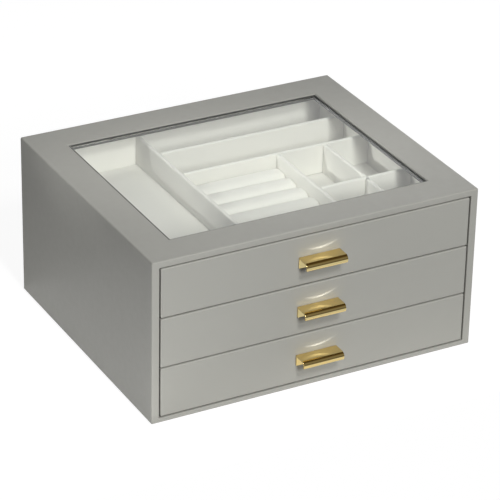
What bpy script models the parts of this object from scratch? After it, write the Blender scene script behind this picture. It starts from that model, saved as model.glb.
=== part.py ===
"""A jewelry box with a glazed top and three drawers, as separate boards, pads, dividers and handles.

Units are metres and +Z is up. The drawers open towards -Y, and the origin is the middle of the base.
"""

import math

import bmesh
import bpy
from mathutils import Vector

# Gaps between pieces
glue_gap = 0.0003
slide_gap = 0.0003
reveal_gap = 0.0012
rear_gap = 0.0012

# Case boards
case_width = 0.301
case_depth = 0.2546
felt_thickness = 0.0006
felt_inset = 0.006
base_thickness = 0.004
side_thickness = 0.0068
back_thickness = 0.0069
shelf_thickness = 0.003
frame_thickness = 0.0059
corner_radius = 0.0016
board_edge_radius = 0.0005

# Window in the top frame, its trim and its glass
window_width = 0.240
window_depth = 0.192
window_shift = -0.0003
trim_thickness = 0.0008
trim_recess = 0.0009
trim_ledge_width = 0.0014
trim_ledge_thickness = 0.0010
glass_thickness = 0.003
glass_drop = 0.0020
glass_edge_radius = 0.0003

# Drawers
front_height = 0.0441
front_thickness = 0.008
front_edge_radius = 0.0010
inner_front_thickness = 0.004
wall_thickness = 0.0065
rear_wall_thickness = 0.005
wall_drop = 0.0084
bottom_thickness = 0.003
pad_thickness = 0.0035
drawer_names = ("bottom_drawer", "middle_drawer", "top_drawer")

# Dividers and ring rolls
divider_thickness = 0.0035
divider_edge_radius = 0.0009
rear_compartment_depth = 0.040
roll_height = 0.018
roll_top_radius = 0.0070
roll_end_radius = 0.0025
roll_card_thickness = 0.0025
roll_slit = 0.0006
roll_count = 7

# Handles and their screws
handle_width = 0.038
handle_height = 0.0095
handle_rise = 0.0041
handle_reach = 0.0122
plate_thickness = 0.0016
lip_height = 0.0070
lip_lean = 0.0018
lip_radius = 0.0035
screw_spacing = 0.024
screw_radius = 0.0015
screw_head_radius = 0.0030
screw_head_thickness = 0.0020
screw_head_cover = 0.0006
screw_clearance = 0.0003

# Counts of flat faces on rounded shapes
edge_steps = 3
divider_steps = 2
roll_steps = 4
arc_steps = 8
round_steps = 16

# Depth by which a cutter passes the face that it opens, and the distance within which points are merged
overrun = 0.002
merge_distance = 0.00001

# Levels from the floor up
base_bottom = felt_thickness + glue_gap
base_top = base_bottom + base_thickness
tier_pitch = front_height + reveal_gap
frame_bottom = base_top + reveal_gap + len(drawer_names) * tier_pitch
frame_top = frame_bottom + frame_thickness

# Places from left to right and from front to back
front_face = -case_depth / 2
back_face = case_depth / 2
bay_half_width = case_width / 2 - side_thickness
front_half_width = bay_half_width - reveal_gap
inner_half_width = front_half_width - wall_thickness
body_front = front_face + front_thickness + glue_gap
inner_front_face = body_front + inner_front_thickness
body_rear = back_face - back_thickness - rear_gap
inner_rear_face = body_rear - rear_wall_thickness

leatherette = ("leatherette", (0.33, 0.325, 0.30, 1.0), 0.5, 0.0)
velvet = ("velvet", (0.78, 0.77, 0.70, 1.0), 0.95, 0.0)
brass = ("brass", (0.75, 0.58, 0.25, 1.0), 0.2, 1.0)
steel = ("steel", (0.60, 0.60, 0.60, 1.0), 0.35, 1.0)
trim_finish = ("trim", (0.07, 0.07, 0.065, 1.0), 0.6, 0.0)
glass = ("glass", (0.90, 0.95, 0.93, 0.3), 0.05, 0.0)
felt = ("felt", (0.12, 0.12, 0.11, 1.0), 0.95, 0.0)


def new_collection(name):
    """A collection of that name, linked to the scene."""
    collection = bpy.data.collections.new(name)
    bpy.context.scene.collection.children.link(collection)
    return collection


def clear_scene():
    """Removes the objects that Blender starts with."""
    for old in list(bpy.data.objects):
        bpy.data.objects.remove(old, do_unlink=True)


def make_material(finish):
    """The Principled material of a finish: its name, colour, roughness and metallic value."""
    name, colour, roughness, metallic = finish
    material = bpy.data.materials.get(name)
    if material is None:
        material = bpy.data.materials.new(name)
        material.use_nodes = True
        shader = material.node_tree.nodes["Principled BSDF"]
        shader.inputs["Base Color"].default_value = colour
        shader.inputs["Roughness"].default_value = roughness
        shader.inputs["Metallic"].default_value = metallic
        shader.inputs["Alpha"].default_value = colour[3]
    return material


def add_object(name, mesh, finish, place=(0.0, 0.0, 0.0), holder=None):
    """Links a mesh as one piece. place is in the world, and holder is the empty that carries the piece."""
    piece = bpy.data.objects.new(name, mesh)
    piece.location = Vector(place) - (holder.location if holder else Vector())
    piece.parent = holder
    mesh.materials.append(make_material(finish))
    parts.objects.link(piece)
    return piece


def box_mesh(name, size):
    """A box of that size about its own middle."""
    shape = bmesh.new()
    bmesh.ops.create_cube(shape, size=1.0)
    bmesh.ops.scale(shape, vec=Vector(size), verts=shape.verts)
    mesh = bpy.data.meshes.new(name)
    shape.to_mesh(mesh)
    shape.free()
    return mesh


def board(name, low, high, finish, holder=None):
    """A flat board between two corners of the world."""
    low, high = Vector(low), Vector(high)
    return add_object(name, box_mesh(name, high - low), finish, (low + high) / 2, holder)


def soften(piece, radius, steps=1):
    """Rounds every edge of a piece."""
    bevel = piece.modifiers.new("soft_edges", "BEVEL")
    bevel.width = radius
    bevel.segments = steps
    bevel.limit_method = "ANGLE"


def round_edges(piece, radius, share_of, steps):
    """Rounds the edges of a box by radius times the share that share_of gives for the edge's middle direction.

    share_of takes the signs of the middle of the edge along X, Y and Z: 0 means that the edge runs that way.
    """
    mesh = piece.data
    weights = mesh.attributes.new("bevel_weight_edge", "FLOAT", "EDGE")
    for edge in mesh.edges:
        ends = [mesh.vertices[i].co for i in edge.vertices]
        middle = (ends[0] + ends[1]) / 2
        signs = tuple(0 if abs(ends[0][k] - ends[1][k]) > abs(middle[k]) else int(math.copysign(1, middle[k]))
                      for k in range(len(middle)))
        weights.data[edge.index].value = share_of(signs)
    bevel = piece.modifiers.new("round_edges", "BEVEL")
    bevel.width = radius
    bevel.segments = steps
    bevel.limit_method = "WEIGHT"


def hide_cutter(cutter):
    """Keeps a cutter out of the part."""
    cutters.objects.link(cutter)
    cutter.hide_render = True
    cutter.display_type = "WIRE"


def box_cutter(name, low, high):
    """A cutting box between two corners of the world."""
    low, high = Vector(low), Vector(high)
    cutter = bpy.data.objects.new(name, box_mesh(name, high - low))
    cutter.location = (low + high) / 2
    hide_cutter(cutter)
    return cutter


def cut(piece, cutter):
    """Cuts a piece with a cutter."""
    boolean = piece.modifiers.new("cut_" + cutter.name, "BOOLEAN")
    boolean.operation = "DIFFERENCE"
    boolean.object = cutter


def front_bottom(tier):
    """Lower edge of the drawer front on that tier, counted from the bottom."""
    return base_top + reveal_gap + tier * tier_pitch


def shelf_top(tier):
    """Upper face of the shelf that carries that tier. The shelf is centred on the gap between two fronts."""
    return front_bottom(tier) - reveal_gap / 2 + shelf_thickness / 2


def body_bottom(tier):
    """Underside of the drawer on that tier."""
    support = shelf_top(tier) if tier else base_top
    return support + slide_gap


def wall_bottom(tier):
    """Lower edge of the drawer's walls, on its bottom board."""
    return body_bottom(tier) + bottom_thickness + glue_gap


def wall_top(tier):
    """Upper edge of the drawer's walls and dividers."""
    return front_bottom(tier) + front_height - wall_drop


def floor_top(tier):
    """Upper face of the pad that lines the drawer's floor."""
    return wall_bottom(tier) + pad_thickness


def frame_edge(signs):
    """The top frame rounds its upright corners and its upper rim."""
    return 0.0 if signs[2] < 0 else 1.0


def base_edge(signs):
    """The base board rounds its upright corners and, by less, its lower rim."""
    lower_rim_share = 0.4
    if signs[2] == 0:
        return 1.0
    return lower_rim_share if signs[2] < 0 else 0.0


def make_case():
    """The boards of the case, from the felt up to the top frame."""
    felt_half = (case_width / 2 - felt_inset, case_depth / 2 - felt_inset)
    board("base_felt", (-felt_half[0], -felt_half[1], 0.0), (felt_half[0], felt_half[1], felt_thickness), felt)

    base = board("base_board", (-case_width / 2, front_face, base_bottom),
                 (case_width / 2, back_face, base_top), leatherette)
    round_edges(base, corner_radius, base_edge, edge_steps)

    side_low = base_top + glue_gap
    side_high = frame_bottom - glue_gap
    for name, sign in (("left_side_board", -1), ("right_side_board", 1)):
        across = sorted((sign * case_width / 2, sign * bay_half_width))
        side = board(name, (across[0], front_face, side_low), (across[1], back_face, side_high), leatherette)
        round_edges(side, corner_radius,
                    lambda signs, outward=sign: 1.0 if signs[2] == 0 and signs[0] == outward else 0.0, edge_steps)

    half_clear = bay_half_width - glue_gap
    board("back_board", (-half_clear, back_face - back_thickness, side_low),
          (half_clear, back_face, side_high), leatherette)

    for name, tier in (("lower_shelf", 1), ("upper_shelf", 2)):
        shelf = board(name, (-half_clear, body_front, shelf_top(tier) - shelf_thickness),
                      (half_clear, back_face - back_thickness - glue_gap, shelf_top(tier)), leatherette)
        soften(shelf, board_edge_radius)


def make_window():
    """The top frame, the trim that lines its opening, and the glass on the trim's ledge."""
    frame = board("top_frame", (-case_width / 2, front_face, frame_bottom),
                  (case_width / 2, back_face, frame_top), leatherette)
    round_edges(frame, corner_radius, frame_edge, edge_steps)
    cut(frame, window_cutter("window_opening", 0.0, frame_bottom - overrun, frame_top + overrun))

    glass_bottom = frame_top - glass_drop - glass_thickness
    trim_bottom = glass_bottom - glue_gap - trim_ledge_thickness
    trim_low, trim_high = window_corners(glue_gap, trim_bottom, frame_top - trim_recess)
    trim = board("glazing_trim", trim_low, trim_high, trim_finish)
    seat_inset = glue_gap + trim_thickness
    cut(trim, window_cutter("glass_seat", seat_inset, glass_bottom - glue_gap, frame_top + overrun))
    cut(trim, window_cutter("glass_light", seat_inset + trim_ledge_width, trim_bottom - overrun,
                            frame_top + overrun))

    glass_low, glass_high = window_corners(seat_inset + glue_gap, glass_bottom, glass_bottom + glass_thickness)
    pane = board("glass_pane", glass_low, glass_high, glass)
    soften(pane, glass_edge_radius)


def window_corners(inset, bottom, top):
    """Two corners of a box in the window opening, drawn in by inset on all four sides."""
    half_width = window_width / 2 - inset
    half_depth = window_depth / 2 - inset
    return ((-half_width, window_shift - half_depth, bottom), (half_width, window_shift + half_depth, top))


def window_cutter(name, inset, bottom, top):
    """A cutting box for the window opening, drawn in by inset on all four sides."""
    return box_cutter(name, *window_corners(inset, bottom, top))


def turned(name, profile, place, finish=None, holder=None):
    """A turned solid about an axis along Y. profile holds (radius, distance along +Y) points. No finish: a cutter."""
    shape = bmesh.new()
    points = [shape.verts.new((radius, 0.0, along)) for radius, along in profile]
    for start, end in zip(points, points[1:]):
        shape.edges.new((start, end))
    mesh = bpy.data.meshes.new(name)
    shape.to_mesh(mesh)
    shape.free()
    if finish:
        solid = add_object(name, mesh, finish, place, holder)
    else:
        solid = bpy.data.objects.new(name, mesh)
        solid.location = place
        hide_cutter(solid)
    solid.rotation_euler = (-math.pi / 2, 0.0, 0.0)
    turn = solid.modifiers.new("turn", "SCREW")
    turn.steps = turn.render_steps = round_steps
    turn.use_merge_vertices = True
    turn.merge_threshold = merge_distance
    return solid


def screw_profile(shank_start, head_start, head_end, shank_radius, head_radius):
    """Half outline of a screw, from its head to its tip, with its axis on the profile's side."""
    return ((0.0, head_end), (head_radius, head_end), (head_radius, head_start), (shank_radius, head_start),
            (shank_radius, shank_start), (0.0, shank_start))


def arc_points(centre, radius, start, end, steps):
    """Points of an arc, from the angle start to the angle end."""
    angles = [start + (end - start) * i / steps for i in range(steps + 1)]
    return [Vector((centre[0] + radius * math.cos(a), centre[1] + radius * math.sin(a))) for a in angles]


def handle_path():
    """Middle line of the bent plate: distance out from the drawer front, and height against the handle's top."""
    half = plate_thickness / 2
    back_plate = glue_gap + half
    flange = -half
    crease = Vector((handle_reach - half, flange))
    foot = Vector((crease.x + lip_lean, half - lip_height))
    chord = foot - crease
    rise = math.sqrt(lip_radius ** 2 - (chord.length / 2) ** 2)
    inward = Vector((chord.y, -chord.x)).normalized()
    centre = (crease + foot) / 2 + inward * rise
    start = math.atan2(crease.y - centre.y, crease.x - centre.x)
    end = math.atan2(foot.y - centre.y, foot.x - centre.x)
    back_plate_line = [Vector((back_plate, -handle_height)), Vector((back_plate, flange))]
    return back_plate_line + arc_points(centre, lip_radius, start, end, arc_steps)


def plate_outline(path, half):
    """Outline of a plate of twice that half thickness along a path."""
    directions = [(b - a).normalized() for a, b in zip(path, path[1:])]
    left, right = [], []
    for i, point in enumerate(path):
        before = directions[max(i - 1, 0)]
        after = directions[min(i, len(directions) - 1)]
        along = (before + after).normalized()
        across = Vector((-along.y, along.x))
        reach = half / across.dot(Vector((-before.y, before.x)))
        left.append(point + across * reach)
        right.append(point - across * reach)
    return left + right[::-1]


def make_handle(name, top_middle, holder):
    """A brass handle: a bent plate with its outline drawn from the side and extruded along X."""
    outline = plate_outline(handle_path(), plate_thickness / 2)
    drawn = bpy.data.curves.new(name + "_outline", "CURVE")
    drawn.dimensions = "2D"
    drawn.fill_mode = "BOTH"
    drawn.extrude = handle_width / 2
    spline = drawn.splines.new("POLY")
    spline.points.add(len(outline) - 1)
    for spot, point in zip(spline.points, outline):
        spot.co = (point.x, point.y, 0.0, 1.0)
    spline.use_cyclic_u = True
    guide = bpy.data.objects.new(name + "_guide", drawn)
    cutters.objects.link(guide)
    bpy.context.view_layer.update()
    depsgraph = bpy.context.evaluated_depsgraph_get()
    mesh = bpy.data.meshes.new_from_object(guide.evaluated_get(depsgraph))
    bpy.data.objects.remove(guide)
    shape = bmesh.new()
    shape.from_mesh(mesh)
    bmesh.ops.remove_doubles(shape, verts=shape.verts, dist=merge_distance)
    for corner in shape.verts:
        out, up, across = corner.co
        corner.co = (across, -out, up)
    bmesh.ops.recalc_face_normals(shape, faces=shape.faces)
    shape.to_mesh(mesh)
    shape.free()
    mesh.materials.clear()
    mesh.name = name
    return add_object(name, mesh, brass, top_middle, holder)


def make_drawer(tier, name):
    """One drawer: its front, walls, bottom, lining pad, handle and screws. Returns the empty that carries them."""
    holder = bpy.data.objects.new(name, None)
    holder.location = (0.0, front_face, front_bottom(tier) + front_height / 2)
    parts.objects.link(holder)

    front = board(name + "_front", (-front_half_width, front_face, front_bottom(tier)),
                  (front_half_width, front_face + front_thickness, front_bottom(tier) + front_height),
                  leatherette, holder)
    soften(front, front_edge_radius, edge_steps)

    low, high = wall_bottom(tier), wall_top(tier)
    cross_half = inner_half_width - glue_gap
    inner_front = board(name + "_inner_front", (-cross_half, body_front, low),
                        (cross_half, inner_front_face, high), velvet, holder)
    board(name + "_rear_wall", (-cross_half, inner_rear_face, low), (cross_half, body_rear, high), velvet, holder)
    for side, sign in (("left", -1), ("right", 1)):
        across = sorted((sign * front_half_width, sign * inner_half_width))
        board(f"{name}_{side}_wall", (across[0], body_front, low), (across[1], body_rear, high), velvet, holder)
    board(name + "_bottom", (-front_half_width, body_front, body_bottom(tier)),
          (front_half_width, body_rear, body_bottom(tier) + bottom_thickness), leatherette, holder)
    pad = board(name + "_floor_pad", (-cross_half, inner_front_face + glue_gap, low),
                (cross_half, inner_rear_face - glue_gap, floor_top(tier)), velvet, holder)
    soften(pad, board_edge_radius)

    handle_top = front_bottom(tier) + front_height / 2 + handle_rise
    screw_level = handle_top - handle_height / 2
    tip = -glue_gap - plate_thickness
    head_end = front_thickness + glue_gap + inner_front_thickness - screw_head_cover
    head_start = head_end - screw_head_thickness
    screw = screw_profile(tip, head_start, head_end, screw_radius, screw_head_radius)
    hole = screw_profile(tip - overrun, head_start - screw_clearance, head_end + overrun,
                         screw_radius + screw_clearance, screw_head_radius + screw_clearance)
    handle = make_handle(name + "_handle", (0.0, front_face, handle_top), holder)
    for side, sign in (("left", -1), ("right", 1)):
        place = (sign * screw_spacing / 2, front_face, screw_level)
        turned(f"{name}_{side}_handle_screw", screw, place, steel, holder)
        drill = turned(f"{name}_{side}_screw_hole", hole, place)
        for drilled in (front, inner_front, handle):
            cut(drilled, drill)
    return holder


def divider(name, tier, low, high, holder):
    """An upright divider between two places on the floor of a drawer."""
    piece = board(name, (low[0], low[1], floor_top(tier) + glue_gap), (high[0], high[1], wall_top(tier)),
                  velvet, holder)
    soften(piece, divider_edge_radius, divider_steps)
    return piece


def long_divider(name, tier, middle, front, rear, holder):
    """A divider that runs from front to rear, centred on middle, with a gap at both ends."""
    half = divider_thickness / 2
    return divider(name, tier, (middle - half, front + glue_gap), (middle + half, rear - glue_gap), holder)


def cross_divider(name, tier, middle, left, right, holder):
    """A divider that runs from left to right, centred on middle, with a gap at both ends."""
    half = divider_thickness / 2
    return divider(name, tier, (left + glue_gap, middle - half), (right - glue_gap, middle + half), holder)


def halve(lower, upper, tier, across, along):
    """Lets two crossing dividers into each other. lower keeps its lower half, and upper its upper half."""
    half = divider_thickness / 2 + glue_gap
    level = (floor_top(tier) + wall_top(tier)) / 2
    spot = f"{lower.name}_{upper.name}"
    cut(lower, box_cutter(spot + "_upper_slot", (across - half, along - half, level - glue_gap / 2),
                          (across + half, along + half, wall_top(tier) + overrun)))
    cut(upper, box_cutter(spot + "_lower_slot", (across - half, along - half, floor_top(tier) - overrun),
                          (across + half, along + half, level + glue_gap / 2)))


def third_places():
    """Middles of the two dividers that split a drawer's inner width into three equal compartments."""
    compartment = (2 * inner_half_width - 2 * divider_thickness) / 3
    left = -inner_half_width + compartment + divider_thickness / 2
    return left, -left


def make_ring_rolls(name, tier, left, right, front, rear, holder):
    """A bed of padded rolls on one backing card, with rings held in the slits between them."""
    pitch = (rear - front - 2 * glue_gap) / roll_count
    card_low = Vector((left + glue_gap, front + glue_gap, floor_top(tier) + glue_gap))
    card_high = Vector((right - glue_gap, rear - glue_gap, card_low.z + roll_card_thickness))
    bed = board(name, card_low, card_high, velvet, holder)
    roll_low = Vector((card_low.x, card_low.y + roll_slit / 2, card_low.z + roll_card_thickness / 2))
    roll_high = Vector((card_high.x, card_low.y + pitch - roll_slit / 2, floor_top(tier) + roll_height))
    rolls = box_cutter(name + "_row", roll_low, roll_high)
    end_share = roll_end_radius / roll_top_radius
    round_edges(rolls, roll_top_radius, lambda signs: roll_edge_share(signs, end_share), roll_steps)
    copies = rolls.modifiers.new("rolls", "ARRAY")
    copies.count = roll_count
    copies.use_relative_offset = False
    copies.use_constant_offset = True
    copies.constant_offset_displace = (0.0, pitch, 0.0)
    joined = bed.modifiers.new("join_rolls", "BOOLEAN")
    joined.operation = "UNION"
    joined.object = rolls


def roll_edge_share(signs, end_share):
    """A roll's two long upper edges are fully round, its ends less so, and its lower edges stay square."""
    if signs[2] < 0:
        return 0.0
    return 1.0 if signs[0] == 0 else end_share


def fit_top_drawer(tier, name, holder):
    """Dividers and ring rolls of the top drawer."""
    half = divider_thickness / 2
    long_place, ring_place = third_places()
    rear_place = inner_rear_face - rear_compartment_depth - half
    cross_place = rear_place - rear_compartment_depth - divider_thickness
    small_long_place = (ring_place + half + inner_half_width) / 2
    small_cross_place = (inner_front_face + cross_place - half) / 2

    long_divider(name + "_long_divider", tier, long_place, inner_front_face, inner_rear_face, holder)
    for part, place in (("_rear_divider", rear_place), ("_cross_divider", cross_place)):
        cross_divider(name + part, tier, place, long_place + half, inner_half_width, holder)
    long_divider(name + "_ring_divider", tier, ring_place, inner_front_face, cross_place - half, holder)
    small_long = long_divider(name + "_small_long_divider", tier, small_long_place,
                              inner_front_face, cross_place - half, holder)
    small_cross = cross_divider(name + "_small_cross_divider", tier, small_cross_place,
                                ring_place + half, inner_half_width, holder)
    halve(small_long, small_cross, tier, small_long_place, small_cross_place)
    make_ring_rolls(name + "_ring_rolls", tier, long_place + half, ring_place - half,
                    inner_front_face, cross_place - half, holder)


def fit_middle_drawer(tier, name, holder):
    """Dividers of the middle drawer: three columns and two rows."""
    cross_place = (inner_front_face + inner_rear_face) / 2
    cross = cross_divider(name + "_cross_divider", tier, cross_place, -inner_half_width, inner_half_width, holder)
    for part, place in zip(("_left_divider", "_right_divider"), third_places()):
        upright = long_divider(name + part, tier, place, inner_front_face, inner_rear_face, holder)
        halve(cross, upright, tier, place, cross_place)


def fit_bottom_drawer(tier, name, holder):
    """Dividers of the bottom drawer: one wide compartment on the left and two on the right."""
    half = divider_thickness / 2
    long_place = third_places()[1]
    cross_place = (inner_front_face + inner_rear_face) / 2
    long_divider(name + "_long_divider", tier, long_place, inner_front_face, inner_rear_face, holder)
    cross_divider(name + "_cross_divider", tier, cross_place, long_place + half, inner_half_width, holder)


clear_scene()
parts = new_collection("jewelry_box")
cutters = new_collection("cutters")
make_case()
make_window()
fittings = (fit_bottom_drawer, fit_middle_drawer, fit_top_drawer)
for drawer_tier, drawer_name in enumerate(drawer_names):
    carrier = make_drawer(drawer_tier, drawer_name)
    fittings[drawer_tier](drawer_tier, drawer_name, carrier)
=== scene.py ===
"""Looks of the glazed jewelry box: boards, velvet trays, rolls, brass handles, lights and camera.

Units are metres and +Z is up. Every piece is modelled in place, and its textures use those coordinates.
"""

import math

import bmesh
import bpy
from mathutils import Matrix, Vector, noise


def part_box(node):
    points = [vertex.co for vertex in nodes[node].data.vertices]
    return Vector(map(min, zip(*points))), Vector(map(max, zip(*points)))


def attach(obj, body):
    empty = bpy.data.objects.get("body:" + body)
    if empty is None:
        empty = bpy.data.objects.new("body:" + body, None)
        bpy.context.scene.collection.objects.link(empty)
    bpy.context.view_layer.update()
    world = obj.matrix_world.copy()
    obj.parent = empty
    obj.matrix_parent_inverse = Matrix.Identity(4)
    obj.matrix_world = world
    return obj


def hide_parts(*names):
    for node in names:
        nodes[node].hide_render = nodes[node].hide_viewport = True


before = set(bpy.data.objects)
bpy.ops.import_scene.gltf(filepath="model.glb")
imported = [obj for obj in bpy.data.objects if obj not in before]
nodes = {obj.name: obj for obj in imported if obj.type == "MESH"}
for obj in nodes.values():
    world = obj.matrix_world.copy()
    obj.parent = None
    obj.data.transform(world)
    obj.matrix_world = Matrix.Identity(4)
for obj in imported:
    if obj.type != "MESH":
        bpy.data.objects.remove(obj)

# Without a seed, the noise that shapes the velvet differs from run to run
noise_seed = 7
noise.seed_set(noise_seed)

# Roundings of the wrapped case
case_round = 0.0014
case_foot_round = 0.0008
bay_round = 0.0008
window_round = 0.0012
window_low_round = 0.0006
case_steps = 5

# Wrapped panels
panel_round = 0.0011
panel_steps = 4
panel_swell = 0.00012
swell_power = 6

# Velvet boards, pads and rolls
wall_top_round = 0.0019
divider_top_round = 0.0015
velvet_side_round = 0.0007
velvet_steps = 4
velvet_spacing = 0.007
velvet_wobble = 0.00010
pad_round = 0.0012
pad_crown = 0.0005
slot_gap = 0.00008
roll_card_thickness = 0.0025
roll_count = 7
roll_slit = 0.0005
roll_length_steps = 56
roll_round_steps = 40
roll_top_power = 2.5
roll_low_power = 5.0
roll_end_power = 12.0
roll_pucker = 0.00028
roll_pucker_count = 15
roll_wobble = 0.00022

# Bent plate of the handles, as the part has it
glue_gap = 0.0003
handle_height = 0.0095
handle_reach = 0.0122
plate_thickness = 0.0016
lip_height = 0.0070
lip_lean = 0.0018
lip_radius = 0.0035
screw_spacing = 0.024
screw_radius = 0.0015
screw_play = 0.00015
plate_edge_round = 0.00028
bend_outer_round = 0.0005
crease_round = 0.00012
lip_steps = 28
hole_steps = 32

# Camera: where the photo was taken from
camera_place = (-0.97738, -1.80307, 1.14926)
camera_azimuth = math.radians(-28.60)
camera_elevation = math.radians(27.87)
camera_roll = math.radians(1.22)
camera_lens = 195.6
sensor_width = 36.0

# The table top under the box, seen from above
table_corners = ((-0.9, -0.205), (1.4, -0.205), (1.4, 2.2), (-0.9, 2.2))

# The streak above each handle: where its lamp stands, and the streak's bow, width and ends
glint_reach = 0.030
glint_rise = 0.0062
glint_height = 0.0048
glint_bow = 12.0
glint_shift = 0.0015
glint_half_width = 0.0012
glint_halo = 0.0055
glint_middle = 0.003
glint_full = 0.002
glint_end = 0.016
glint_halo_share = 0.20
glint_cone = math.radians(80)
glint_colour = (1.0, 0.97, 0.88, 1.0)
glint_power = 0.062

# Lamps: name, place, target, width, height and power
lamps = (
    ("key", (-0.18, -1.70, 1.75), (0.0, -0.1, 0.07), 0.35, 0.35, 24.8),
    ("front_fill", (-0.2, -2.0, 1.15), (0.0, 0.0, 0.08), 0.5, 0.5, 30.0),
    ("back", (0.0, 1.3, 1.7), (0.0, 0.0, 0.08), 0.8, 0.8, 1.5),
    ("back_right", (1.2, 1.3, 1.4), (0.0, 0.0, 0.08), 0.6, 0.6, 3.6),
)

# Spots aimed at the window: name, place, target, angle, blend, radius and power
window_spots = (
    ("window", (-0.75, 0.15, 1.8), (-0.015, 0.0, 0.13), math.radians(6.3), 0.6, 0.12, 46.0),
    ("window_low", (-1.7, 0.4, 0.95), (0.075, 0.0, 0.13), math.radians(5.2), 0.5, 0.06, 95.0),
)

# Unseen lamps on the table that face up: name, x, y, width, depth and power
table_lamps = (
    ("bounce_left", -0.24, 0.0, 0.18, 0.26, 0.066),
    ("bounce_front_left", -0.302, -0.22, 0.30, 0.17, 0.23),
)
table_lamp_height = 0.002

# How light the table and the room are, and the table's own glow by what sees it
white = (1.0, 1.0, 1.0, 1.0)
room_back = (0.95, 0.95, 0.95, 1.0)
room_ambient = (0.05, 0.05, 0.05, 1.0)
table_glow = 1.16
table_glow_seen = 0.8
table_glow_mirrored = 0.3

# The room in front, as the brass mirrors it: from straight down (0) to straight up (1)
room_front = (
    (0.0, (0.66, 0.71, 0.82)),
    (0.37, (0.66, 0.71, 0.82)),
    (0.43, (0.12, 0.105, 0.07)),
    (0.50, (0.12, 0.11, 0.08)),
    (0.60, (0.19, 0.185, 0.165)),
    (0.78, (0.24, 0.225, 0.20)),
    (0.87, (0.10, 0.075, 0.035)),
    (1.0, (0.04, 0.025, 0.01)),
)

drawer_names = ("bottom_drawer", "middle_drawer", "top_drawer")


def report_size():
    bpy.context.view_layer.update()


def add_node(tree, kind, inputs=None, **settings):
    """A shader node with its settings; an input given as a socket is linked, and any other is a value."""
    made = tree.nodes.new(kind)
    for key, value in settings.items():
        setattr(made, key, value)
    for key, value in (inputs or {}).items():
        if isinstance(value, bpy.types.NodeSocket):
            tree.links.new(value, made.inputs[key])
        else:
            made.inputs[key].default_value = value
    return made


def calc(tree, operation, first, second=0.0):
    """The value socket of a sum, product or other operation."""
    return add_node(tree, "ShaderNodeMath", {0: first, 1: second}, operation=operation).outputs[0]


def mixed_colour(tree, share, first, second):
    """The colour socket of a mix of two colours or colour sockets."""
    return add_node(tree, "ShaderNodeMix", {0: share, 6: first, 7: second}, data_type="RGBA").outputs[2]


def new_material(name):
    """An empty node material: the material, its tree and the socket of its coordinates."""
    material = bpy.data.materials.new(name)
    material.use_nodes = True
    tree = material.node_tree
    tree.nodes.clear()
    place = tree.nodes.new("ShaderNodeTexCoord").outputs["Object"]
    return material, tree, place


def noise_at(tree, place, scale, detail=2.0, roughness=0.5):
    """The value socket of a noise texture with that many cells to the metre."""
    made = add_node(tree, "ShaderNodeTexNoise", {"Vector": place, "Scale": scale, "Detail": detail,
                                                "Roughness": roughness})
    return made.outputs["Fac"]


def spread(tree, value, low, high, start=0.3, end=0.7):
    """Maps a texture value from start..end to low..high."""
    made = add_node(tree, "ShaderNodeMapRange", {"Value": value, "From Min": start, "From Max": end,
                                                "To Min": low, "To Max": high})
    return made.outputs["Result"]


def tinted(tree, value, low, high):
    """A colour between two colours."""
    made = add_node(tree, "ShaderNodeMix", data_type="RGBA")
    made.inputs[6].default_value = (*low, 1.0)
    made.inputs[7].default_value = (*high, 1.0)
    tree.links.new(value, made.inputs[0])
    return made.outputs[2]


def ramped(tree, value, stops):
    """A colour that runs through several; stops gives the value and the colour of each."""
    made = add_node(tree, "ShaderNodeValToRGB", {"Fac": value})
    elements = made.color_ramp.elements
    for place, colour in stops[1:-1]:
        elements.new(place).color = (*colour, 1.0)
    for element, (place, colour) in ((elements[0], stops[0]), (elements[len(elements) - 1], stops[-1])):
        element.position = place
        element.color = (*colour, 1.0)
    return made.outputs["Color"]


def bumped(tree, height, strength, distance, normal=None):
    """The normal socket of a bump; distance is the height in metres that a value of 1 stands for."""
    made = add_node(tree, "ShaderNodeBump", {"Height": height, "Strength": strength, "Distance": distance})
    if normal is not None:
        tree.links.new(normal, made.inputs["Normal"])
    return made.outputs["Normal"]


def finish_material(tree, shader):
    """Links a shader node's first output to the surface."""
    output = tree.nodes.new("ShaderNodeOutputMaterial")
    tree.links.new(shader.outputs[0], output.inputs["Surface"])


def leatherette_material(name, colour, rough):
    """Smooth coated cloth with a fine pebbled grain and a faint mottle."""
    material, tree, place = new_material(name)
    mottle = noise_at(tree, place, 14.0, 3.0)
    colour_low = [c * 0.965 for c in colour]
    colour_high = [c * 1.035 for c in colour]
    grain = add_node(tree, "ShaderNodeTexVoronoi", {"Vector": place, "Scale": 1500.0, "Randomness": 1.0},
                     feature="SMOOTH_F1")
    pits = noise_at(tree, place, 2600.0, 2.0)
    wave = noise_at(tree, place, 38.0, 2.0)
    normal = bumped(tree, wave, 1.0, 0.00012)
    normal = bumped(tree, grain.outputs["Distance"], 0.35, 0.00006, normal)
    normal = bumped(tree, pits, 0.25, 0.00003, normal)
    shader = add_node(tree, "ShaderNodeBsdfPrincipled", {
        "Base Color": tinted(tree, mottle, colour_low, colour_high),
        "Roughness": spread(tree, noise_at(tree, place, 160.0), rough - 0.04, rough + 0.04),
        "Specular IOR Level": 0.42,
        "Normal": normal,
    })
    finish_material(tree, shader)
    return material


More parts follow.
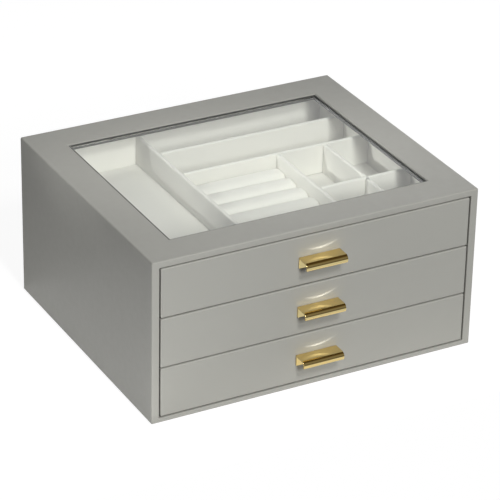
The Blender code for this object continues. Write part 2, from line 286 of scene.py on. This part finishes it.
def velvet_material(name, colour):
    """Short-pile velvet: matt, with a nap that varies and a sheen at grazing angles."""
    material, tree, place = new_material(name)
    nap = noise_at(tree, place, 42.0, 4.0, 0.6)
    pile = noise_at(tree, place, 3800.0, 2.0)
    colour_low = [c * 0.975 for c in colour]
    colour_high = [c * 1.02 for c in colour]
    normal = bumped(tree, nap, 1.0, 0.00025)
    normal = bumped(tree, pile, 0.5, 0.00012, normal)
    shader = add_node(tree, "ShaderNodeBsdfPrincipled", {
        "Base Color": tinted(tree, nap, colour_low, colour_high),
        "Roughness": 0.95,
        "Specular IOR Level": 0.1,
        "Sheen Weight": 0.25,
        "Sheen Roughness": 0.5,
        "Normal": normal,
    })
    finish_material(tree, shader)
    return material


def brass_material(name):
    """Polished brass with faint lines along the plate."""
    material, tree, place = new_material(name)
    stretched = add_node(tree, "ShaderNodeMapping", {"Vector": place, "Scale": (60.0, 2600.0, 2600.0)})
    lines = noise_at(tree, stretched.outputs["Vector"], 1.0, 3.0)
    cloud = noise_at(tree, place, 120.0, 2.0)
    shader = add_node(tree, "ShaderNodeBsdfPrincipled", {
        "Base Color": tinted(tree, cloud, (0.83, 0.635, 0.265), (0.87, 0.68, 0.30)),
        "Metallic": 1.0,
        "Roughness": spread(tree, lines, 0.05, 0.09),
        "Normal": bumped(tree, lines, 0.10, 0.00002),
    })
    finish_material(tree, shader)
    return material


def steel_material(name):
    """Zinc-plated screw steel."""
    material, tree, place = new_material(name)
    cloud = noise_at(tree, place, 900.0, 3.0)
    shader = add_node(tree, "ShaderNodeBsdfPrincipled", {
        "Base Color": tinted(tree, cloud, (0.54, 0.55, 0.56), (0.62, 0.62, 0.61)),
        "Metallic": 1.0,
        "Roughness": spread(tree, cloud, 0.28, 0.4),
        "Normal": bumped(tree, cloud, 0.2, 0.00003),
    })
    finish_material(tree, shader)
    return material


def plain_material(name, colour, rough, cells, depth):
    """A matt material with a cloudy colour and a fine relief."""
    material, tree, place = new_material(name)
    cloud = noise_at(tree, place, 60.0, 3.0)
    relief = noise_at(tree, place, cells, 3.0)
    colour_low = [c * 0.93 for c in colour]
    colour_high = [c * 1.07 for c in colour]
    shader = add_node(tree, "ShaderNodeBsdfPrincipled", {
        "Base Color": tinted(tree, cloud, colour_low, colour_high),
        "Roughness": spread(tree, relief, rough - 0.05, rough + 0.05),
        "Normal": bumped(tree, relief, 0.6, depth),
    })
    finish_material(tree, shader)
    return material


def glass_material(name):
    """Clear float glass. The light that falls on the lining goes straight through it."""
    material, tree, place = new_material(name)
    cloud = noise_at(tree, place, 25.0, 2.0)
    pane = add_node(tree, "ShaderNodeBsdfPrincipled", {
        "Base Color": tinted(tree, cloud, (0.975, 0.99, 0.98), (0.985, 0.995, 0.99)),
        "Roughness": spread(tree, cloud, 0.0, 0.012),
        "IOR": 1.5,
        "Transmission Weight": 1.0,
    })
    clear = add_node(tree, "ShaderNodeBsdfTransparent", {"Color": (0.90, 0.91, 0.895, 1.0)})
    path = tree.nodes.new("ShaderNodeLightPath")
    lights_it = add_node(tree, "ShaderNodeMath", {0: path.outputs["Is Shadow Ray"],
                                                 1: path.outputs["Diffuse Depth"]}, operation="MAXIMUM",
                         use_clamp=True)
    mixed = tree.nodes.new("ShaderNodeMixShader")
    tree.links.new(lights_it.outputs[0], mixed.inputs[0])
    tree.links.new(pane.outputs[0], mixed.inputs[1])
    tree.links.new(clear.outputs[0], mixed.inputs[2])
    finish_material(tree, mixed)
    return material


def box_mesh(name, low, high):
    """A box between two corners."""
    shape = bmesh.new()
    bmesh.ops.create_cube(shape, size=1.0)
    middle = (low + high) / 2
    size = high - low
    for vertex in shape.verts:
        vertex.co = middle + Vector(a * b for a, b in zip(vertex.co, size))
    mesh = bpy.data.meshes.new(name)
    shape.to_mesh(mesh)
    shape.free()
    return mesh


def settled(thing):
    """The mesh of an object as its modifiers leave it. The object itself is removed."""
    bpy.context.view_layer.update()
    graph = bpy.context.evaluated_depsgraph_get()
    mesh = bpy.data.meshes.new_from_object(thing.evaluated_get(graph))
    mesh.name = thing.name
    bpy.data.objects.remove(thing)
    return mesh


def scratch_object(mesh):
    """An object for building with, linked to the scene."""
    thing = bpy.data.objects.new(mesh.name, mesh)
    bpy.context.scene.collection.objects.link(thing)
    return thing


def rounded(mesh, radius_of, steps):
    """The mesh with its edges rounded. radius_of takes an edge's two ends and gives the radius there."""
    radii = []
    for edge in mesh.edges:
        start, end = (mesh.vertices[i].co for i in edge.vertices)
        radii.append(radius_of(start, end))
    largest = max(radii)
    weights = mesh.attributes.new("bevel_weight_edge", "FLOAT", "EDGE")
    for edge, radius in zip(mesh.edges, radii):
        weights.data[edge.index].value = radius / largest
    thing = scratch_object(mesh)
    bevel = thing.modifiers.new("round", "BEVEL")
    bevel.width = largest
    bevel.segments = steps
    bevel.limit_method = "WEIGHT"
    return settled(thing)


def cut_by(mesh, cutters):
    """The mesh less the cutters' meshes."""
    thing = scratch_object(mesh)
    helpers = [scratch_object(cutter) for cutter in cutters]
    for helper in helpers:
        boolean = thing.modifiers.new("cut", "BOOLEAN")
        boolean.operation = "DIFFERENCE"
        boolean.object = helper
    made = settled(thing)
    for helper in helpers:
        bpy.data.objects.remove(helper)
    return made


def divided(mesh, spacing):
    """Cuts the mesh's faces along planes that distance apart, so that it can be bent and dented."""
    shape = bmesh.new()
    shape.from_mesh(mesh)
    for axis in range(3):
        low = min(vertex.co[axis] for vertex in shape.verts)
        high = max(vertex.co[axis] for vertex in shape.verts)
        count = round((high - low) / spacing)
        direction = Vector(float(axis == k) for k in range(3))
        for step in range(1, count):
            level = low + (high - low) * step / count
            everything = shape.verts[:] + shape.edges[:] + shape.faces[:]
            bmesh.ops.bisect_plane(shape, geom=everything, dist=1e-7, plane_co=direction * level,
                                   plane_no=direction)
    shape.to_mesh(mesh)
    shape.free()


def wobbled(mesh, height, cells):
    """Moves each vertex by smooth noise, up to that height."""
    for vertex in mesh.vertices:
        vertex.co += noise.noise_vector(vertex.co * cells) * height


def add_piece(name, mesh, body, material, stands_for=()):
    """Shows a mesh as a piece: the body that it rides on, its look and the nodes it replaces."""
    mesh.materials.clear()
    mesh.materials.append(material)
    for face in mesh.polygons:
        face.use_smooth = True
    piece = bpy.data.objects.new(name, mesh)
    bpy.context.scene.collection.objects.link(piece)
    even = piece.modifiers.new("even_shading", "WEIGHTED_NORMAL")
    even.weight = 90
    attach(piece, body)
    if stands_for:
        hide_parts(*stands_for)
    return piece


def dress_node(name, material, round_by=0.0):
    """Gives a part's own node its look and, if it needs them, rounded edges."""
    piece = nodes[name]
    piece.data.materials.clear()
    piece.data.materials.append(material)
    if round_by:
        bevel = piece.modifiers.new("round", "BEVEL")
        bevel.width = round_by
        bevel.segments = 2
        bevel.limit_method = "ANGLE"
        for face in piece.data.polygons:
            face.use_smooth = True
        even = piece.modifiers.new("even_shading", "WEIGHTED_NORMAL")
        even.weight = 90


def loop_at(low, high, order):
    """Four points of a ring; order says for each which corner's x, y and z it takes."""
    corners = (low, high)
    return [Vector((corners[a].x, corners[b].y, corners[c].z)) for a, b, c in order]


def make_case_wrap():
    """The shell of base, sides and top frame. The cloth runs over all of their joints without a seam."""
    outer_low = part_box("base_board")[0]
    outer_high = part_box("top_frame")[1]
    bay_low = Vector((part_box("left_side_board")[1].x, outer_low.y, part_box("base_board")[1].z))
    bay_high = Vector((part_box("right_side_board")[0].x, outer_high.y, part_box("top_frame")[0].z))
    trim_low, trim_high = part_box("glazing_trim")
    play = Vector((glue_gap, glue_gap, 0.0))
    window_low = Vector((*(trim_low - play).xy, bay_high.z))
    window_high = Vector((*(trim_high + play).xy, outer_high.z))

    level = ((0, 0), (1, 0), (1, 1), (0, 1))
    outer = loop_at(outer_low, outer_high, [(a, b, 0) for a, b in level] + [(a, b, 1) for a, b in level])
    bay_front = loop_at(bay_low, bay_high, [(a, 0, c) for a, c in level])
    bay_back = loop_at(bay_low, bay_high, [(a, 1, c) for a, c in level])
    window = loop_at(window_low, window_high, [(a, b, 0) for a, b in level] + [(a, b, 1) for a, b in level])
    points = outer + bay_front + bay_back + window
    front_ring = (0, 1, 5, 4)
    back_ring = (3, 2, 6, 7)
    top_ring = (4, 5, 6, 7)
    bay_front_ring = (8, 9, 10, 11)
    bay_back_ring = (12, 13, 14, 15)
    window_low_ring = (16, 17, 18, 19)
    window_high_ring = (20, 21, 22, 23)
    ceiling_ring = (11, 10, 14, 15)
    faces = [(0, 3, 2, 1), (0, 4, 7, 3), (1, 2, 6, 5), (8, 9, 13, 12), (8, 12, 15, 11), (9, 10, 14, 13)]
    joined_rings = ((front_ring, bay_front_ring), (back_ring, bay_back_ring), (top_ring, window_high_ring),
                    (window_low_ring, window_high_ring), (ceiling_ring, window_low_ring))
    for one, other in joined_rings:
        for i in range(4):
            j = (i + 1) % 4
            faces.append((one[i], one[j], other[j], other[i]))
    mesh = bpy.data.meshes.new("case_wrap")
    mesh.from_pydata(points, [], faces)
    shape = bmesh.new()
    shape.from_mesh(mesh)
    bmesh.ops.recalc_face_normals(shape, faces=shape.faces)
    shape.to_mesh(mesh)
    shape.free()
    near = 1e-6

    def case_radius(start, end):
        """Radius of each edge of the shell. The lines that only split a flat face stay sharp."""
        middle = (start + end) / 2
        along = [abs(a) > near for a in end - start]
        if sum(along) > 1:
            return 0.0
        axis = along.index(True)
        on_outer = [abs(middle[k] - outer_low[k]) < near or abs(middle[k] - outer_high[k]) < near
                    for k in range(3) if k != axis]
        if all(on_outer):
            return case_foot_round if abs(middle.z - outer_low.z) < near else case_round
        in_window = (window_low.x - near < middle.x < window_high.x + near
                     and window_low.y - near < middle.y < window_high.y + near
                     and middle.z > window_low.z - near)
        if in_window:
            return window_round if abs(middle.z - window_high.z) < near else window_low_round
        return bay_round

    return rounded(mesh, case_radius, case_steps)


def make_panel(name, node, swells=True):
    """A wrapped panel in the place of a node's box, with soft edges and a faint swell on its faces."""
    low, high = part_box(node)
    mesh = rounded(box_mesh(name, low, high), lambda start, end: panel_round, panel_steps)
    if swells:
        divided(mesh, 0.012)
        middle, half = (low + high) / 2, (high - low) / 2
        for vertex in mesh.vertices:
            across = (vertex.co.x - middle.x) / half.x
            up = (vertex.co.z - middle.z) / half.z
            share = (1 - abs(across) ** swell_power) * (1 - abs(up) ** swell_power)
            side = (vertex.co.y - middle.y) / half.y
            vertex.co.y -= side * panel_swell * (1 - share)
    return mesh


def make_velvet_board(name, low, high, top_round):
    """A board wrapped in velvet: its upper edges are fuller than the others."""
    near = 1e-6

    def velvet_radius(start, end):
        """Radius of each edge of the board."""
        on_top = abs(start.z - high.z) < near and abs(end.z - high.z) < near
        return top_round if on_top else velvet_side_round

    return rounded(box_mesh(name, low, high), velvet_radius, velvet_steps)


def unevenly(mesh):
    """Makes a velvet piece a little uneven."""
    divided(mesh, velvet_spacing)
    wobbled(mesh, velvet_wobble, 70.0)
    return mesh


def slot_cutter(piece_node, other_node, opens_up):
    """The box cut out of a divider where another one passes."""
    low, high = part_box(piece_node)
    other_low, other_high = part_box(other_node)
    level = (low.z + high.z) / 2
    cut_low, cut_high = low.copy(), high.copy()
    for k in range(2):
        crossing = (high - low)[k] > (other_high - other_low)[k]
        cut_low[k] = other_low[k] - slot_gap if crossing else low[k] - slot_gap * 10
        cut_high[k] = other_high[k] + slot_gap if crossing else high[k] + slot_gap * 10
    if opens_up:
        cut_low.z = level
        cut_high.z = high.z + slot_gap * 10
    else:
        cut_low.z = low.z - slot_gap * 10
        cut_high.z = level
    return box_mesh(piece_node + "_slot", cut_low, cut_high)


def make_pad(name, node):
    """A thin foam sheet under velvet: flat below, with a low crown that falls off at its rim."""
    low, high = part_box(node)
    mesh = rounded(box_mesh(name, low, high), lambda start, end: pad_round, velvet_steps)
    divided(mesh, 0.008)
    middle, half = (low + high) / 2, (high - low) / 2
    for vertex in mesh.vertices:
        if vertex.co.z > middle.z:
            across = abs(vertex.co.x - middle.x) / half.x
            along = abs(vertex.co.y - middle.y) / half.y
            rim = max(across ** 14, along ** 14)
            vertex.co.z -= pad_crown * rim
    wobbled(mesh, velvet_wobble, 45.0)
    return mesh


def signed_power(value, power):
    """value raised to a power, with its sign kept."""
    return math.copysign(abs(value) ** power, value)


def make_roll(name, low, high, seed):
    """One stuffed roll: round above, flat below, with its velvet gathered at both ends."""
    middle, half = (low + high) / 2, (high - low) / 2
    points, faces = [], []
    rings = roll_length_steps - 1
    for i in range(rings):
        turn = math.pi * (i + 1) / roll_length_steps - math.pi / 2
        along = math.sin(turn)
        fullness = (1 - abs(along) ** roll_end_power) ** (1 / roll_end_power)
        gather = max(0.0, (abs(along) - 0.80) / 0.20) ** 2
        for j in range(roll_round_steps):
            angle = 2 * math.pi * j / roll_round_steps
            power = roll_top_power if math.sin(angle) > 0 else roll_low_power
            across = signed_power(math.cos(angle), 2 / power) * half.y * fullness
            up = signed_power(math.sin(angle), 2 / power) * half.z * fullness
            crease = math.sin(angle * roll_pucker_count + seed) * roll_pucker * gather
            shrink = 1 - (crease + roll_pucker * gather) / half.y
            point = Vector((middle.x + along * half.x, middle.y + across * shrink, middle.z + up * shrink))
            point += noise.noise_vector(point * 90.0) * roll_wobble * fullness
            point.z = max(point.z, low.z)
            points.append(point)
    for i in range(rings - 1):
        for j in range(roll_round_steps):
            k = (j + 1) % roll_round_steps
            a, b = i * roll_round_steps, (i + 1) * roll_round_steps
            faces.append((a + j, a + k, b + k, b + j))
    for end, first, outward in ((low.x, 0, True), (high.x, (rings - 1) * roll_round_steps, False)):
        points.append(Vector((end, middle.y, middle.z)))
        tip = len(points) - 1
        for j in range(roll_round_steps):
            k = (j + 1) % roll_round_steps
            ring = (first + k, first + j) if outward else (first + j, first + k)
            faces.append((*ring, tip))
    mesh = bpy.data.meshes.new(name)
    mesh.from_pydata(points, [], faces)
    shape = bmesh.new()
    shape.from_mesh(mesh)
    bmesh.ops.recalc_face_normals(shape, faces=shape.faces)
    shape.to_mesh(mesh)
    shape.free()
    return mesh


def arc_points(centre, radius, start, end, steps):
    """Points of an arc, from the angle start to the angle end."""
    angles = [start + (end - start) * i / steps for i in range(steps + 1)]
    return [Vector((centre[0] + radius * math.cos(a), centre[1] + radius * math.sin(a))) for a in angles]


def handle_path():
    """Middle line of the bent plate: distance out from the drawer front, and height from the handle's top."""
    half = plate_thickness / 2
    back_plate = glue_gap + half
    flange = -half
    crease = Vector((handle_reach - half, flange))
    foot = Vector((crease.x + lip_lean, half - lip_height))
    chord = foot - crease
    rise = math.sqrt(lip_radius ** 2 - (chord.length / 2) ** 2)
    inward = Vector((chord.y, -chord.x)).normalized()
    centre = (crease + foot) / 2 + inward * rise
    start = math.atan2(crease.y - centre.y, crease.x - centre.x)
    end = math.atan2(foot.y - centre.y, foot.x - centre.x)
    back_plate_line = [Vector((back_plate, -handle_height)), Vector((back_plate, flange))]
    return back_plate_line + arc_points(centre, lip_radius, start, end, lip_steps)


def plate_outline(path, half):
    """Outline of a plate of twice that half thickness along a path."""
    directions = [(b - a).normalized() for a, b in zip(path, path[1:])]
    left, right = [], []
    for i, point in enumerate(path):
        before = directions[max(i - 1, 0)]
        after = directions[min(i, len(directions) - 1)]
        along = (before + after).normalized()
        across = Vector((-along.y, along.x))
        reach = half / across.dot(Vector((-before.y, before.x)))
        left.append(point + across * reach)
        right.append(point - across * reach)
    return left + right[::-1]


def make_handle(name, node):
    """A bent brass plate with eased edges and two screw holes."""
    low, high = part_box(node)
    outline = plate_outline(handle_path(), plate_thickness / 2)
    count = len(outline)
    front_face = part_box(node.replace("_handle", "_front"))[0].y
    points = []
    for across in (low.x, high.x):
        for point in outline:
            points.append(Vector((across, max(front_face - point.x, low.y), high.z + point.y)))
    faces = [tuple(range(count)), tuple(range(2 * count - 1, count - 1, -1))]
    for i in range(count):
        j = (i + 1) % count
        faces.append((i, i + count, j + count, j))
    mesh = bpy.data.meshes.new(name)
    mesh.from_pydata(points, [], faces)
    shape = bmesh.new()
    shape.from_mesh(mesh)
    bmesh.ops.recalc_face_normals(shape, faces=shape.faces)
    shape.to_mesh(mesh)
    shape.free()
    last = count - 1
    half = count // 2
    radii = {i: plate_edge_round for i in (0, half - 1, half, last - 1, last)}
    radii[1] = bend_outer_round
    radii[2] = crease_round
    lines = {(round(points[i].y, 7), round(points[i].z, 7)): radius for i, radius in radii.items()}
    near = 1e-6

    def plate_radius(start, end):
        """Both cut ends, the long edges of the rims, and the lines of the two bends are eased."""
        if abs(start.x - end.x) < near:
            return plate_edge_round
        return lines.get((round(start.y, 7), round(start.z, 7)), 0.0)

    mesh = rounded(mesh, plate_radius, 3)
    hole_radius = screw_radius + screw_play
    holes = []
    for side in (-1, 1):
        shape = bmesh.new()
        place = Matrix.Translation((side * screw_spacing / 2, front_face, high.z - handle_height / 2))
        turn = Matrix.Rotation(math.pi / 2, 4, "X")
        bmesh.ops.create_cone(shape, cap_ends=True, segments=hole_steps, radius1=hole_radius,
                              radius2=hole_radius, depth=4 * plate_thickness, matrix=place @ turn)
        hole = bpy.data.meshes.new(name + "_hole")
        shape.to_mesh(hole)
        shape.free()
        holes.append(hole)
    return cut_by(mesh, holes)


def make_case(looks):
    """The shell, the back panel, the shelves, the felt, and the window with its trim."""
    add_piece("case_wrap", make_case_wrap(), "case", looks["leatherette"],
              ("base_board", "left_side_board", "right_side_board", "top_frame"))
    add_piece("back_panel", make_panel("back_panel", "back_board"), "case",
              looks["leatherette"], ("back_board",))
    for name in ("lower_shelf", "upper_shelf"):
        dress_node(name, looks["lining"], 0.0004)
    dress_node("base_felt", looks["felt"], 0.0002)
    dress_node("glazing_trim", looks["trim"], 0.00015)
    dress_node("glass_pane", looks["glass"])


def make_drawer(name, looks):
    """One drawer: its front, tray boards, lining pad, handle and screws."""
    panel = make_panel(name + "_front_panel", name + "_front")
    add_piece(name + "_front_panel", panel, name, looks["leatherette"], (name + "_front",))
    for part in ("inner_front", "left_wall", "right_wall", "rear_wall"):
        node = f"{name}_{part}"
        mesh = unevenly(make_velvet_board(node + "_velvet", *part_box(node), wall_top_round))
        add_piece(node + "_velvet", mesh, name, looks["velvet"], (node,))
    pad_node = name + "_floor_pad"
    pad = add_piece(pad_node + "_velvet", make_pad(pad_node + "_velvet", pad_node), name,
                    looks["velvet"], (pad_node,))
    dress_node(name + "_bottom", looks["lining"], 0.0004)
    add_piece(name + "_pull", make_handle(name + "_pull", name + "_handle"), name, looks["brass"],
              (name + "_handle",))
    for side in ("left", "right"):
        dress_node(f"{name}_{side}_handle_screw", looks["steel"])


def make_dividers(looks):
    """The velvet dividers. Where two cross, each is slotted for the other, as halved joints are."""
    crossings = {
        "top_drawer_small_long_divider": [("top_drawer_small_cross_divider", True)],
        "top_drawer_small_cross_divider": [("top_drawer_small_long_divider", False)],
        "middle_drawer_cross_divider": [("middle_drawer_left_divider", True),
                                        ("middle_drawer_right_divider", True)],
        "middle_drawer_left_divider": [("middle_drawer_cross_divider", False)],
        "middle_drawer_right_divider": [("middle_drawer_cross_divider", False)],
    }
    for node in sorted(nodes):
        if not node.endswith("_divider"):
            continue
        body = node[:node.index("_drawer") + len("_drawer")]
        mesh = make_velvet_board(node + "_velvet", *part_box(node), divider_top_round)
        cutters = [slot_cutter(node, other, opens_up) for other, opens_up in crossings.get(node, [])]
        if cutters:
            mesh = cut_by(mesh, cutters)
        add_piece(node + "_velvet", unevenly(mesh), body, looks["velvet"], (node,))


def make_ring_rolls(looks):
    """Seven stuffed rolls on one card."""
    node = "top_drawer_ring_rolls"
    low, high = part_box(node)
    card_high = Vector((high.x, high.y, low.z + roll_card_thickness))
    card = unevenly(make_velvet_board("ring_roll_card", low, card_high, velvet_side_round))
    add_piece("ring_roll_card", card, "top_drawer", looks["velvet"], (node,))
    pitch = (high.y - low.y) / roll_count
    for i in range(roll_count):
        name = f"ring_roll_{i + 1}"
        start = low.y + i * pitch
        roll_low = Vector((low.x, start + roll_slit / 2, card_high.z))
        roll_high = Vector((high.x, start + pitch - roll_slit / 2, high.z))
        roll = add_piece(name, make_roll(name, roll_low, roll_high, i), "top_drawer",
                         looks["velvet"], (node,))


def make_camera():
    """The camera of the photo."""
    back = Vector((math.sin(camera_azimuth) * math.cos(camera_elevation),
                   -math.cos(camera_azimuth) * math.cos(camera_elevation), math.sin(camera_elevation)))
    right = (-back).cross(Vector((0.0, 0.0, 1.0))).normalized()
    up = right.cross(-back)
    turned_right = math.cos(camera_roll) * right + math.sin(camera_roll) * up
    turned_up = math.cos(camera_roll) * up - math.sin(camera_roll) * right
    data = bpy.data.cameras.new("camera")
    data.lens = camera_lens
    data.sensor_width = sensor_width
    camera = bpy.data.objects.new("camera", data)
    turn = Matrix((turned_right, turned_up, back)).transposed().to_4x4()
    camera.matrix_world = Matrix.Translation(camera_place) @ turn
    bpy.context.scene.collection.objects.link(camera)
    bpy.context.scene.camera = camera


def add_lamp(name, place, target, width, height, power):
    """A soft white rectangular lamp that faces a target."""
    data = bpy.data.lights.new(name, "AREA")
    data.shape = "RECTANGLE"
    data.size = width
    data.size_y = height
    data.energy = power
    lamp = bpy.data.objects.new(name, data)
    lamp.location = place
    direction = Vector(target) - Vector(place)
    lamp.rotation_mode = "QUATERNION"
    lamp.rotation_quaternion = direction.to_track_quat("-Z", "Y")
    bpy.context.scene.collection.objects.link(lamp)
    return lamp


def make_world():
    """White behind the object. Reflections show a room instead: light at the back, and banded in front."""
    world = bpy.data.worlds.new("room")
    world.use_nodes = True
    bpy.context.scene.world = world
    tree = world.node_tree
    tree.nodes.clear()
    place = tree.nodes.new("ShaderNodeTexCoord").outputs["Generated"]
    parts = add_node(tree, "ShaderNodeSeparateXYZ", {"Vector": place})
    from_front = spread(tree, parts.outputs["Y"], 0.0, 1.0, 0.2, 0.6)
    front = ramped(tree, spread(tree, parts.outputs["Z"], 0.0, 1.0, -1.0, 1.0), room_front)
    seen = mixed_colour(tree, from_front, front, room_back)
    path = tree.nodes.new("ShaderNodeLightPath")
    mirrored = calc(tree, "MAXIMUM", path.outputs["Is Glossy Ray"], path.outputs["Is Transmission Ray"])
    direct = calc(tree, "LESS_THAN", path.outputs["Diffuse Depth"], 0.5)
    lit = mixed_colour(tree, calc(tree, "MULTIPLY", mirrored, direct), room_ambient, seen)
    shown = mixed_colour(tree, path.outputs["Is Camera Ray"], lit, white)
    background = add_node(tree, "ShaderNodeBackground", {"Color": shown, "Strength": 1.0})
    output = tree.nodes.new("ShaderNodeOutputWorld")
    tree.links.new(background.outputs[0], output.inputs["Surface"])


def floor_material():
    """A white table: seen, it is as light as the backdrop, and it still takes the object's shadow."""
    material, tree, place = new_material("white_table")
    cloud = noise_at(tree, place, 3.0, 2.0)
    colour = tinted(tree, cloud, (0.79,) * 3, (0.81,) * 3)
    diffuse = add_node(tree, "ShaderNodeBsdfDiffuse", {"Color": colour})
    glow = add_node(tree, "ShaderNodeEmission", {"Color": white, "Strength": table_glow})
    path = tree.nodes.new("ShaderNodeLightPath")
    seen = calc(tree, "MULTIPLY", path.outputs["Is Camera Ray"], table_glow_seen)
    mirrored = calc(tree, "MULTIPLY", path.outputs["Is Glossy Ray"], table_glow_mirrored)
    mixed = tree.nodes.new("ShaderNodeMixShader")
    tree.links.new(calc(tree, "MAXIMUM", seen, mirrored), mixed.inputs[0])
    tree.links.new(diffuse.outputs[0], mixed.inputs[1])
    tree.links.new(glow.outputs[0], mixed.inputs[2])
    finish_material(tree, mixed)
    return material


def make_stage():
    """The table that the box stands on."""
    shape = bmesh.new()
    corners = [shape.verts.new((x, y, 0.0)) for x, y in table_corners]
    shape.faces.new(corners)
    mesh = bpy.data.meshes.new("table")
    shape.to_mesh(mesh)
    shape.free()
    mesh.materials.append(floor_material())
    table = bpy.data.objects.new("table", mesh)
    bpy.context.scene.collection.objects.link(table)


def add_spot(name, place, target, angle, blend, radius, power):
    """A round spot lamp with a soft rim."""
    data = bpy.data.lights.new(name, "SPOT")
    data.spot_size = angle
    data.spot_blend = blend
    data.shadow_soft_size = radius
    data.energy = power
    lamp = bpy.data.objects.new(name, data)
    lamp.location = place
    direction = Vector(target) - Vector(place)
    lamp.rotation_mode = "QUATERNION"
    lamp.rotation_quaternion = direction.to_track_quat("-Z", "Y")
    bpy.context.scene.collection.objects.link(lamp)
    return lamp


def add_glint(drawer):
    """A lamp that paints the bowed streak of light above a handle. It rides with the drawer."""
    front_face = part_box(drawer + "_front")[0].y
    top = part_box(drawer + "_handle")[1].z
    place = (0.0, front_face - glint_reach, top + glint_rise)
    target = (0.0, front_face, place[2])
    lamp = add_spot(drawer + "_glint", place, target, glint_cone, 0.0, 0.0, glint_power)
    lamp.visible_camera = False
    lamp.data.use_nodes = True
    tree = lamp.data.node_tree
    tree.nodes.clear()
    direction = tree.nodes.new("ShaderNodeTexCoord").outputs["Normal"]
    parts = add_node(tree, "ShaderNodeSeparateXYZ", {"Vector": direction})
    depth = calc(tree, "ABSOLUTE", parts.outputs["Z"])
    across = calc(tree, "MULTIPLY", calc(tree, "DIVIDE", parts.outputs["X"], depth), glint_reach)
    up = calc(tree, "MULTIPLY", calc(tree, "DIVIDE", parts.outputs["Y"], depth), glint_reach)
    from_lowest = calc(tree, "ADD", across, glint_shift)
    bow = calc(tree, "MULTIPLY", calc(tree, "POWER", from_lowest, 2.0), glint_bow)
    line = calc(tree, "ADD", bow, glint_height - glint_rise)
    distance = calc(tree, "ABSOLUTE", calc(tree, "SUBTRACT", up, line))
    streak = spread(tree, distance, 1.0, 0.0, 0.0, glint_half_width)
    halo = spread(tree, distance, glint_halo_share, 0.0, 0.0, glint_halo)
    from_middle = calc(tree, "ABSOLUTE", calc(tree, "SUBTRACT", across, glint_middle))
    ends = spread(tree, from_middle, 1.0, 0.0, glint_full, glint_end)
    strength = calc(tree, "MULTIPLY", calc(tree, "ADD", streak, halo), ends)
    glow = add_node(tree, "ShaderNodeEmission", {"Color": glint_colour, "Strength": strength})
    output = tree.nodes.new("ShaderNodeOutputLight")
    tree.links.new(glow.outputs[0], output.inputs["Surface"])
    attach(lamp, drawer)


def light_scene():
    """The lamps round the object, the spots on the window, the lamps on the table, and the streaks."""
    for lamp in lamps:
        add_lamp(*lamp)
    for spot in window_spots:
        add_spot(*spot)
    for name, x, y, width, depth, power in table_lamps:
        bounce = add_lamp(name, (x, y, table_lamp_height), (x, y, 1.0), width, depth, power)
        bounce.visible_camera = False
    for drawer in drawer_names:
        add_glint(drawer)


report_size()
finishes = {
    "leatherette": leatherette_material("grey_leatherette", (0.330, 0.327, 0.298), 0.47),
    "velvet": velvet_material("ivory_velvet", (0.76, 0.747, 0.693)),
    "brass": brass_material("polished_brass"),
    "steel": steel_material("zinc_steel"),
    "trim": plain_material("dark_trim", (0.035, 0.035, 0.033), 0.45, 1800.0, 0.00003),
    "glass": glass_material("clear_glass"),
    "felt": plain_material("grey_felt", (0.12, 0.12, 0.11), 0.95, 2600.0, 0.0002),
    "lining": plain_material("lining_paper", (0.36, 0.355, 0.33), 0.8, 1400.0, 0.00005),
}
make_case(finishes)
for drawer in drawer_names:
    make_drawer(drawer, finishes)
make_dividers(finishes)
make_ring_rolls(finishes)
make_stage()
make_world()
light_scene()
make_camera()
bpy.context.scene.view_settings.view_transform = "Standard"
report_size()
